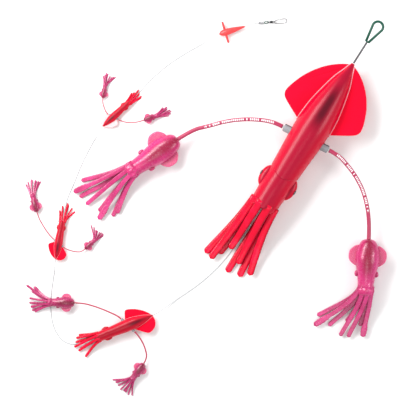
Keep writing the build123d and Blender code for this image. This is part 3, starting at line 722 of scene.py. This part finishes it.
def main_squid(name):
    nose, heading, scale = MAINS[name]
    place = placing(nose, heading, AXIS_HEIGHT, scale)
    big = name == "lead"
    count, rows = (96, 90) if big else (40, 44)
    skin = LEAD_SKIN if big else SMALL_SKIN
    body = Surface()
    rings, shares = [], []
    for x in spaced(0.0, 188.0, rows, 1.25):
        rings.append(pointed(place, x, profile(BODY, x), count))
        shares.append(x / CROWN)
    for x, radius in ((190.0, 22.95), (190.8, 22.7), (190.4, 22.0), (186.0, 21.2)):
        rings.append(pointed(place, x, radius, count))
        shares.append(x / CROWN)
    body.skin(rings, shares)
    head = Surface()
    rings, shares = [], []
    for x in spaced(176.0, 252.0, rows // 2):
        rings.append(scalloped(place, x, profile(HEAD, x), count))
        shares.append(x / CROWN)
    head.skin(rings, shares)
    for side in (1, -1):
        bulge, shares = [], []
        for i in range(21):
            t = i / 20
            x = EYE_PLACE + 1.5 - 18.5 * cos(pi * t)
            size = 8.6 * sin(pi * t) ** 0.9 + 0.05
            centre_y = side * (20.6 - 3.5 * (1 - sin(pi * t)))
            bulge.append([place(x, centre_y + size * 1.08 * cos(a), size * 0.8 * sin(a) + 1.5)
                          for a in (2 * pi * j / 36 - pi / 2 for j in range(36))])
            shares.append(x / CROWN)
        head.skin(bulge, shares)
    if big:
        body.piece("lead_mantle_skin", skin, "root", "lead_skin", "lead_mantle")
        head.piece("lead_head_skin", skin, "root", "lead_skin", "lead_head")
        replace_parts(fins(name, place, FIN_RED, SEAM_PINK), "lead_fins")
    else:
        body.piece(f"{name}_mantle_skin", skin, "root", "lead_skin", f"{name}_squid")
        head.piece(f"{name}_head_skin", skin, "root", "lead_skin")
        pale = name == "fourth"
        fins(name, place, FIN_PALE if pale else FIN_RED, TENTACLE_RED if pale else SEAM_PINK)
    sizes = ((12.4, 10.4), (7.6, 4.6))
    levels = (2.4, 8.4)
    tentacles(name, place, CROWN, AXIS_HEIGHT, TIPS[name], RING, sizes, levels, 0.85, "root", TENTACLE_RED,
              "lead_tentacle_skin", 44 if big else 26, 28 if big else 16, blunt=5.0, splay=1.1)
    return place


def pupils(name, places, body, replaced, reach, radius, at, slot):
    """Black domed pupils at the outer side of each eye."""
    surface = Surface()
    for place in places:
        for side in (1, -1):
            rings = []
            for i in range(9):
                wide, out = radius * cos(i / 8 * pi / 2), reach + radius * 0.45 * sin(i / 8 * pi / 2)
                rings.append([place(at + wide * cos(a), side * out, wide * sin(a) * side + radius * 0.35)
                              for a in (2 * pi * j / 24 for j in range(24))])
            surface.skin(rings)
    return surface.piece(name, PUPIL, body, slot, *replaced)


main_places = {name: main_squid(name) for name in MAINS}
pupils("lead_pupils", [main_places["lead"]], "root", ("lead_eyes",), PUPIL_REACH, PUPIL_SIZE, PUPIL_PLACE,
       "squid_eyes")
pupils("follower_pupils", [main_places[n] for n in ("second", "third", "fourth")], "root", ("follower_eyes",),
       PUPIL_REACH, PUPIL_SIZE, PUPIL_PLACE, "squid_eyes")


def sleeve_placing(name):
    """The frame of a squid's cross sleeve: origin at its middle, y towards its +y end."""
    heading, scale = MAINS[name][1:]
    plus, minus = SLEEVE_ENDS[name]
    middle = main_places[name]((plus + minus) / 2, 0, 0) / MM
    turn = atan2(minus - plus, 2 * SLEEVE_REACH) * 180 / pi
    return placing((middle.x, middle.y), heading + turn, AXIS_HEIGHT, scale)


def sleeve(name, names, material, replaced):
    """Cross sleeves with rounded ends and a socket for each arm."""
    surface = Surface()
    for each in names:
        place = sleeve_placing(each)
        mouth = [(1.4, 3.5), (0.3, 4.0), (0, 4.6), (0.5, 5.7), (1.2, SLEEVE_RADIUS)]
        stops = [(inset - SLEEVE_HALF, r) for inset, r in mouth]
        stops += [(SLEEVE_HALF - inset, r) for inset, r in mouth[::-1]]
        angles = [2 * pi * j / 40 for j in range(40)]
        rings = [[place(r * cos(a), y, r * sin(a)) for a in angles] for y, r in stops]
        surface.skin(rings[::-1])
    return surface.piece(name, material, "root", "sleeve_grey", *replaced)


sleeve("lead_sleeve_bar", ["lead"], SLEEVE_GREY, ("lead_sleeve",))
sleeve("follower_sleeve_bars", ["second", "third", "fourth"], SLEEVE_GREY, ("follower_sleeves",))


# --- Side squids ---
def gathered(x, angle):
    """The crown is gathered into eight lobes, one above each tentacle."""
    lobe = 0.05 * cos(8 * (angle - pi / 2)) * min(1.0, max(0.0, (x - 70) / 6))
    return 1 + lobe, 1 + lobe


def shoulders(x, angle):
    """Side squids are a little flatter than round behind the nose."""
    flat = exp(-(((x - 24) / 22) ** 2))
    return 1 + 0.03 * flat, 1 - 0.03 * flat


def side_squid(name):
    nose, heading, scale = SIDES[name]
    place = placing(nose, heading, SIDE_AXIS_HEIGHT, scale)
    big = name in ("left", "right")
    body_name = f"{name}_side_squid"
    count, rows = (72, 60) if big else (32, 30)
    skin = GLITTER if big else GLITTER_SMALL
    strap = GLITTER_STRAP if big else STRAP_SMALL
    stretch = STRETCH.get(name, 1.0)

    def long_place(x, y, z):
        return place(x * stretch, y, z)

    body = Surface()
    rings, shares = [], []
    for x in spaced(0.0, 71.6, rows, 1.4):
        rings.append(around(long_place, x, profile(SIDE_BODY, x), count, shoulders))
        shares.append(x / SIDE_CROWN)
    for x, radius in ((72.3, 12.3), (72.2, 11.6), (71.0, 11.2)):
        rings.append(around(long_place, x, radius, count))
        shares.append(x / SIDE_CROWN)
    body.skin(rings, shares)
    head_rings, head_shares = [], []
    for x in spaced(66.0, 84.0, rows // 2):
        head_rings.append(around(long_place, x, profile(SIDE_HEAD, x), count, gathered))
        head_shares.append(x / SIDE_CROWN)
    body.skin(head_rings, head_shares)
    for side in (1, -1):
        knob = []
        for i in range(11):
            t = i / 10
            x = 52 - 4.6 * cos(pi * t)
            size = 3.6 * sin(pi * t) ** 0.8 + 0.03
            knob.append([long_place(x, side * 14.4 + size * cos(a), size * sin(a) + 1.0)
                         for a in (2 * pi * j / 20 - pi / 2 for j in range(20))])
        body.skin(knob, [0.68] * 11)
    body.piece(f"{name}_skin", skin, body_name, "glitter_skin", f"{name}_squid")
    ears = Surface()
    for side in (1, -1):
        rim = []
        for j in range(48):
            angle = 2 * pi * j / 48
            wave = 1 + 0.012 * sin(7 * angle)
            out = EAR_OFFSET + EAR_RADIUS * wave * sin(angle)
            rim.append((EAR_PLACE * stretch + EAR_RADIUS * wave * cos(angle), side * out))
        plate(ears, rim, 2.4, 2.2, place)
    ears.piece(f"{name}_ears", EAR_PINK, body_name, "glitter_skin")
    sizes = ((7.0, 6.4), (4.2, 2.6))
    rows, count = (40, 28) if big else (22, 16)
    tentacles(name, place, SIDE_CROWN * stretch, SIDE_AXIS_HEIGHT, TIPS[name], SIDE_RING, sizes, (1.6, 5.2),
              0.4, body_name, strap, "glitter_tentacles", rows, count, CLUBS.get(name, (1, 5)), blunt=0.9)
    return place


side_places = {name: side_squid(name) for name in SIDES}
for name in ("left", "right"):
    pupils(f"{name}_pupils", [side_places[name]], f"{name}_side_squid", (f"{name}_eyes",), 17.3, 1.6,
           52 * STRETCH.get(name, 1.0), "side_eyes")


# --- Spreader arms ---
def arm(name):
    main, side, route = ARM_ROUTES[name]
    scale = MAINS[main][2]
    cross, squid = sleeve_placing(main), side_places[name]
    gap = SLEEVE_HALF * scale + 2.0 * max(scale, 0.4)
    start = cross(0, side * gap / scale, 0)
    leave = cross(0, side * (gap + 14 * scale) / scale, 0)
    before = squid(-24, 0, 0)
    drop = leave.z - before.z
    points = [start, leave]
    for index, (x, y) in enumerate(route):
        share = (index + 1) / (len(route) + 1)
        points.append(Vector((x * MM, y * MM, leave.z - drop * share)))
    points += [before, squid(12, 0, 0)]
    radius = 3.1 * max(scale, 0.25) * MM
    surface = Surface()
    tube(surface, line_points(points), radius, 28 if scale == 1 else 14)
    material = ARM_PRINTED if scale == 1 else ARM_PLAIN
    surface.piece(f"{name}_arm_tube", material, f"{name}_arm", "arm_tube", f"{name}_arm")
    collar = Surface()
    inner = cross(0, side * (SLEEVE_HALF - 0.6), 0)
    tube(collar, [inner, start + (start - inner) * 0.2], radius * 0.72, 20)
    collar.piece(f"{name}_arm_collar", WHITE_RING, "root", "sleeve_grey")


for name in ARM_ROUTES:
    arm(name)

# --- Tow stem and loop ---
lead_place = main_places["lead"]
STEM_GAP, STEM_LENGTH, STEM_RADIUS = 1.2, 36.5, 1.65
stem = Surface()
turns = 46
stem_path = [lead_place(-STEM_GAP - STEM_LENGTH * i / (turns * 6), 0, 0) for i in range(turns * 6 + 1)]
tube(stem, stem_path, lambda share: (STEM_RADIUS - 0.13 + 0.13 * cos(2 * pi * turns * share)) * MM, 20)
stem.piece("tow_stem_coil", STEEL, "tow_line", "tow_wire", "tow_stem")

apex = lead_place(-STEM_GAP - STEM_LENGTH - 0.1, 0, 0)
loop_place = placing((apex.x / MM, apex.y / MM), MAINS["lead"][1] - 3.0, AXIS_HEIGHT, 1.0)
LOOP_CENTRE, LOOP_BEND, THROAT, LOOP_RADIUS = -28.2, 7.9, 2.05, 1.95


def loop_path():
    """The loop's middle line: a straight leg, round the eye, and a straight leg back."""
    meet = asin((LOOP_BEND - THROAT) / -LOOP_CENTRE)
    angles = [pi / 2 - meet + (pi + 2 * meet) * i / 36 for i in range(37)]
    arc = [(LOOP_CENTRE + LOOP_BEND * cos(a), LOOP_BEND * sin(a)) for a in angles]
    return [(-0.8, THROAT)] + arc + [(-0.8, -THROAT)]


loop = Surface()
tube(loop, [loop_place(x, y, 0) for x, y in loop_path()], LOOP_RADIUS * MM, 20)
ferrule = [(-2.2, 1.0), (-2.0, 1.5), (-1.7, 1.65), (-0.6, 1.65), (-0.3, 1.5), (-0.1, 1.1)]
oval = rounded_section(0.6, 28)
loop.skin([[loop_place(x, y * (1.7 + half), z * half) for y, z in oval] for x, half in ferrule])
loop.piece("tow_loop_tube", GREEN, "tow_line", "loop_cover", "tow_loop")

# --- Bird teaser ---
BIRD_HEIGHT, BIRD_LENGTH = 5.3, 39.6
bird = placing((21.5, 258.9), 16.7, BIRD_HEIGHT, 1.0)
BIRD = [(0, 0.9), (1, 2.2), (2.5, 3.4), (6, 4.7), (10, 5.1), (15, 4.9), (22, 4.2), (30, 2.9), (39.6, 1.2)]
bird_body = Surface()
revolved(bird_body, bird, BIRD, 0.0, BIRD_LENGTH, 36, 48, length=BIRD_LENGTH)
bird_body.piece("bird_hull", CORAL, "root", "bird_coral", "bird_body")
wings = Surface()
WING_PLACE, WING_HALF, WING_WIDTH = 9.4, 16.7, 3.4
wing = []
for end_sign in (1, -1):
    for k in range(13):
        a = pi * k / 12 - pi / 2
        wing.append((WING_PLACE - end_sign * WING_WIDTH / 2 * sin(a),
                     end_sign * (WING_HALF - WING_WIDTH / 2 + WING_WIDTH / 2 * cos(a))))
plate(wings, wing, 1.2, 0.6, bird)
wings.piece("bird_wing_blades", CORAL, "root", "bird_coral", "bird_wings")

# --- End tackle ---
end = placing((80.4, 275.6), 5.0, 2.6, 1.0)
crimp = Surface()
stops = [(0, 0.7), (0.25, 0.95), (0.8, 1.1), (2.3, 1.1), (2.6, 0.86), (3.6, 0.82), (3.9, 1.1), (5.2, 1.1),
         (5.5, 0.86), (6.5, 0.82), (6.8, 1.1), (7.8, 1.1), (8.2, 0.95), (8.4, 0.7)]
crimp.skin([[end(x, y * (0.7 + half), z * half) for y, z in rounded_section(0.8, 24)] for x, half in stops])
crimp.piece("end_crimp_pressed", CRIMP, "root", "crimp_metal", "end_crimp")


def hoop(surface, place, centre, wide, high, radius, upright=False, count=32, round_count=12):
    """A closed ring of wire round a centre on the axis."""
    rings = []
    for i in range(count + 1):
        a = 2 * pi * i / count
        ring = []
        for j in range(round_count):
            b = 2 * pi * j / round_count
            x = centre + (wide + radius * cos(b)) * cos(a)
            y = (high + radius * cos(b)) * sin(a)
            z = radius * sin(b)
            ring.append(place(x, z, y) if upright else place(x, y, z))
        rings.append(ring)
    surface.skin(rings, caps=False)


thimble = Surface()
hoop(thimble, end, 11.8, 2.85, 1.8, 0.55)
thimble.piece("end_thimble_ring", GREEN, "root", "loop_cover", "end_thimble")

SWIVEL = 8.4 + 4.9
barrel = Surface()
hoop(barrel, end, SWIVEL + 1.5, 1.5, 1.5, 0.42, upright=True)
BARREL_START = SWIVEL + 3.3
stops = [(0, 0.75), (0.15, 1.0), (0.55, 1.2), (0.9, 1.75), (1.2, 1.9), (1.6, 1.75), (1.9, 1.88),
         (3.3, 1.88), (3.6, 1.75), (4.0, 1.9), (4.3, 1.75), (4.65, 1.2), (5.05, 1.0), (5.2, 0.75)]
barrel.skin([around(end, BARREL_START + x, r, 32) for x, r in stops])
barrel.piece("swivel_barrel_turned", BLACK, "root", "swivel_dark", "swivel_barrel")

EYE_START = BARREL_START + 5.2 + 0.2
swivel_eye = Surface()
eye_foot = ((0, 0.6), (0.1, 0.8), (0.9, 0.75), (1.0, 0.5))
swivel_eye.skin([around(end, EYE_START + x, r, 20) for x, r in eye_foot])
hoop(swivel_eye, end, EYE_START + 2.0, 1.12, 1.12, 0.38, upright=True)
swivel_eye.piece("swivel_eye_ring", BLACK, "snap", "swivel_dark", "swivel_eye")

SNAP_START, SNAP_HALF, WIRE = EYE_START + 2.0, 3.3, 0.52
frame_route = [(14.2, -SNAP_HALF), (9.0, -SNAP_HALF), (3.4, -SNAP_HALF), (0.2, -2.4), (-0.15, 0.0),
               (1.0, 1.4), (3.2, 1.9), (6.5, SNAP_HALF - 0.6)]
snap = Surface()
tube(snap, line_points([end(SNAP_START + x, y, 0) for x, y in frame_route]), WIRE * MM, 14)
snap.piece("snap_frame_wire", CHROME, "snap", "snap_wire", "snap_frame")
gate_route = [(14.7, -SNAP_HALF), (16.6, -SNAP_HALF), (18.3, -1.6), (18.3, 1.6), (16.4, SNAP_HALF),
              (13.0, SNAP_HALF - 0.1), (7.3, SNAP_HALF - 0.35)]
gate = Surface()
tube(gate, line_points([end(SNAP_START + x, y, 0) for x, y in gate_route]), WIRE * MM, 14)
gate.piece("snap_gate_wire", CHROME, "gate", "snap_wire", "snap_gate")

# --- Mono lines ---
LINE_RADIUS = 0.6
FLOOR = 0.7


def behind(name, offset, height=None):
    scale = MAINS[name][2]
    point = main_places[name](CROWN + offset / scale, 0, 0) / MM
    return (point.x, point.y, point.z if height is None else height)


def ahead(name, offset):
    scale = MAINS[name][2]
    return tuple(main_places[name](-offset / scale, 0, 0) / MM)


LINES = {
    "line_1": [
        behind("lead", 0), behind("lead", 15), behind("lead", 34, 18), behind("lead", 55, 4.5),
        (47.5, -55, FLOOR), (33, -75.5, FLOOR), (10.5, -99.5, FLOOR), (-15, -120.5, FLOOR),
        (-44, -139.5, FLOOR), (-62, -152.8, 3.4), ahead("second", 6), ahead("second", 0),
    ],
    "line_2": [
        behind("second", 0), behind("second", 7), behind("second", 18, 3.6), (-186, -203.4, FLOOR),
        (-199, -206.8, FLOOR), (-213, -201.5, FLOOR), (-223.5, -188.3, FLOOR), (-229.6, -171.5, FLOOR),
        (-231.7, -152, FLOOR), (-230.6, -128, FLOOR), (-226.9, -104, FLOOR), (-225.4, -90, 2.8),
        ahead("third", 4), ahead("third", 0),
    ],
    "line_3": [
        behind("third", 0), behind("third", 6), behind("third", 15, 2.2), (-208.6, 4, FLOOR),
        (-205.4, 16, FLOOR), (-197.5, 33, FLOOR), (-185.2, 64, FLOOR), (-171, 92, FLOOR),
        (-161, 110, 2.6), ahead("fourth", 4), ahead("fourth", 0),
    ],
    "line_4": [
        behind("fourth", 0), behind("fourth", 4.5), behind("fourth", 10.5, 1.4), (-97.6, 173.2, FLOOR),
        (-88, 183.8, FLOOR), (-76, 196, FLOOR), (-56, 213, FLOOR), (-32, 228.8, FLOOR), (-5, 244.2, 1.6),
        (12, 255.2, 4.2), (21.5, 258.9, BIRD_HEIGHT),
    ],
    "line_5": [
        tuple(bird(BIRD_LENGTH - 9, 0, 0) / MM), tuple(bird(BIRD_LENGTH + 3, 0, 0) / MM), (71, 274.6, 2.6),
        tuple(end(-3, 0, 0) / MM), tuple(end(5.5, 0, 0) / MM),
    ],
}
for name, route in LINES.items():
    points = [Vector(p) * MM for p in route]
    data = smooth_line(points)
    data.bevel_depth = LINE_RADIUS * MM
    data.bevel_resolution = 3
    data.materials.append(MONO)
    piece = bpy.data.objects.new(f"{name}_mono", data)
    bpy.context.scene.collection.objects.link(piece)
    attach(piece, "root")
    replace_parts(piece, name)
    tuple(points[0])

# --- CAD pieces that stay: their shape is right and they only need a finer material ---
for name, material in (("float_core", FOAM), ("leader_core", STEEL), ("left_arm_core", STEEL),
                       ("right_arm_core", STEEL)):
    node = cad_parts[name]
    for slot in node.material_slots:
        slot.material = material

# --- Floor and light ---
floor_material = Nodes("floor_white", (0.9, 0.9, 0.9), 0.9)
floor_tone = floor_material.mix(floor_material.noise(3), (0.89, 0.89, 0.89), (0.91, 0.91, 0.91))
floor_material.link(floor_tone, "Base Color")
floor_mesh = bpy.data.meshes.new("floor")
FLOOR_HALF, FLOOR_DROP = 6.0, -0.0002
corners = [(x * FLOOR_HALF, y * FLOOR_HALF, 0) for x, y in ((-1, -1), (1, -1), (1, 1), (-1, 1))]
floor_mesh.from_pydata(corners, [], [(0, 1, 2, 3)])
floor_mesh.materials.append(floor_material.material)
floor = bpy.data.objects.new("floor", floor_mesh)
floor.location.z = FLOOR_DROP
bpy.context.scene.collection.objects.link(floor)

WORLD_LIGHT = 0.58
world = bpy.data.worlds.new("studio")
world.use_nodes = True
world.node_tree.nodes["Background"].inputs[0].default_value = (1, 1, 1, 1)
world.node_tree.nodes["Background"].inputs[1].default_value = WORLD_LIGHT
bpy.context.scene.world = world
bpy.context.scene.view_settings.view_transform = "Standard"


def softbox(name, target, direction, along, distance, size, power):
    """A rectangular lamp that faces the target from a direction, its long side along a heading."""
    data = bpy.data.lights.new(name, "AREA")
    data.shape = "RECTANGLE"
    data.size, data.size_y = size
    data.energy = power
    lamp = bpy.data.objects.new(name, data)
    back = Vector(direction).normalized()
    across = Vector(along).cross(back).normalized()
    upward = back.cross(across)
    lamp.matrix_world = Matrix((across, upward, back)).transposed().to_4x4()
    lamp.location = Vector(target) + back * distance
    lamp.visible_camera = False
    bpy.context.scene.collection.objects.link(lamp)


lead_mid = lead_place(130, 0, 0)
lead_along = lead_place(1, 0, 0) - lead_place(0, 0, 0)
softbox("key_left", lead_mid, (-0.62, 0.40, 0.68), lead_along, 1.1, (0.38, 1.2), 15)
softbox("front_right", (0, 0, 0), (0.86, -0.05, 0.60), lead_along, 1.3, (0.4, 0.6), 4)
softbox("high_fill", (0, 0, 0), (0.0, -0.35, 1.0), (1, 0, 0), 2.4, (1.6, 1.0), 9)
